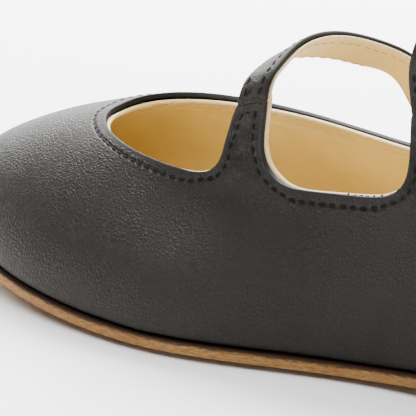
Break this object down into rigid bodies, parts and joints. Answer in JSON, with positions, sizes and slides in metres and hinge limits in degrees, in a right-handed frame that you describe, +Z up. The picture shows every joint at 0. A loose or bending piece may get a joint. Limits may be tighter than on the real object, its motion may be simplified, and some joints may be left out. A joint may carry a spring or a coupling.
{
  "type": "tap shoe",
  "caption": "Flat leather dance shoe for the right foot with a round toe, low topline, instep and ankle straps with hook buckles, and metal taps under toe and heel.",
  "frame": {"origin": "middle of the overall box, on the floor under the taps and the tread", "axes": "-X towards the toe, +X towards the heel, -Y the medial side where the straps grow from the upper, +Z up"},
  "size_m": [0.2514, 0.0864, 0.0968],
  "materials": {
    "black_leather": "semi-matt pebbled black leather",
    "lining_leather": "matt tan lining leather",
    "sole_leather": "raw vegetable-tanned leather with a fibrous cut edge",
    "fibre_board": "matt fibre board",
    "cork": "matt cork",
    "stiffener": "matt stiffened felt",
    "pad_rubber": "matt fine-ribbed rubber",
    "spring_steel": "brushed",
    "tap_aluminium": "satin cast aluminium",
    "nickel": "polished nickel plate"
  },
  "bodies": {
    "shoe": {"upper": "black_leather", "upper_lining": "lining_leather", "toe_puff": "stiffener", "heel_counter": "stiffener", "back_strip": "black_leather", "outsole": "sole_leather", "toe_tap": "tap_aluminium", "toe_tap_board": "fibre_board", "toe_tap_screw_1": "nickel", "toe_tap_screw_2": "nickel", "toe_tap_screw_3": "nickel", "ball_pad": "pad_rubber", "cork_filler": "cork", "shank": "spring_steel", "insole_board": "fibre_board", "sock_lining": "lining_leather", "heel_tap": "tap_aluminium", "heel_tap_board": "fibre_board", "heel_lift_lower": "sole_leather", "heel_lift_upper": "sole_leather", "heel_tap_screw_1": "nickel", "heel_tap_screw_2": "nickel", "heel_tap_screw_3": "nickel", "front_ring_tab": "black_leather", "rear_ring_tab": "black_leather"},
    "front_strap": {"front_strap": "black_leather", "front_strap_lining": "lining_leather", "front_buckle_hook": "nickel"},
    "front_buckle_frame": {"front_buckle_frame": "nickel"},
    "front_buckle_tongue": {"front_buckle_tongue": "nickel"},
    "front_ring": {"front_ring": "nickel"},
    "rear_strap": {"rear_strap": "black_leather", "rear_strap_lining": "lining_leather", "rear_buckle_hook": "nickel"},
    "rear_buckle_frame": {"rear_buckle_frame": "nickel"},
    "rear_buckle_tongue": {"rear_buckle_tongue": "nickel"},
    "rear_ring": {"rear_ring": "nickel"}
  },
  "joints": [
    {"name": "front_strap_swing", "type": "hinge", "parent": "shoe", "child": "front_strap", "pos_m": [-0.02232, -0.02658, 0.05744], "axis": [0.9553, 0, 0.2955], "range_deg": [0, 95]},
    {"name": "front_frame_tilt", "type": "hinge", "parent": "front_strap", "child": "front_buckle_frame", "pos_m": [-0.00372, 0.02873, 0.03617], "axis": [-1, 0, 0], "range_deg": [0, 45]},
    {"name": "front_tongue_tilt", "type": "hinge", "parent": "front_buckle_frame", "child": "front_buckle_tongue", "pos_m": [-0.00372, 0.02873, 0.03617], "axis": [-1, 0, 0], "range_deg": [0, 28]},
    {"name": "front_ring_tilt", "type": "hinge", "parent": "shoe", "child": "front_ring", "pos_m": [-0.00372, 0.03416, 0.02536], "axis": [1, 0, 0], "range_deg": [0, 6]},
    {"name": "rear_strap_swing", "type": "hinge", "parent": "shoe", "child": "rear_strap", "pos_m": [0.02294, -0.02948, 0.06142], "axis": [0.9888, 0, 0.1494], "range_deg": [0, 95]},
    {"name": "rear_frame_tilt", "type": "hinge", "parent": "rear_strap", "child": "rear_buckle_frame", "pos_m": [0.03459, 0.02715, 0.05468], "axis": [-1, 0, 0], "range_deg": [0, 45]},
    {"name": "rear_tongue_tilt", "type": "hinge", "parent": "rear_buckle_frame", "child": "rear_buckle_tongue", "pos_m": [0.03459, 0.02715, 0.05468], "axis": [-1, 0, 0], "range_deg": [0, 28]},
    {"name": "rear_ring_tilt", "type": "hinge", "parent": "shoe", "child": "rear_ring", "pos_m": [0.03459, 0.02603, 0.04263], "axis": [1, 0, 0], "range_deg": [0, 55]}
  ]
}
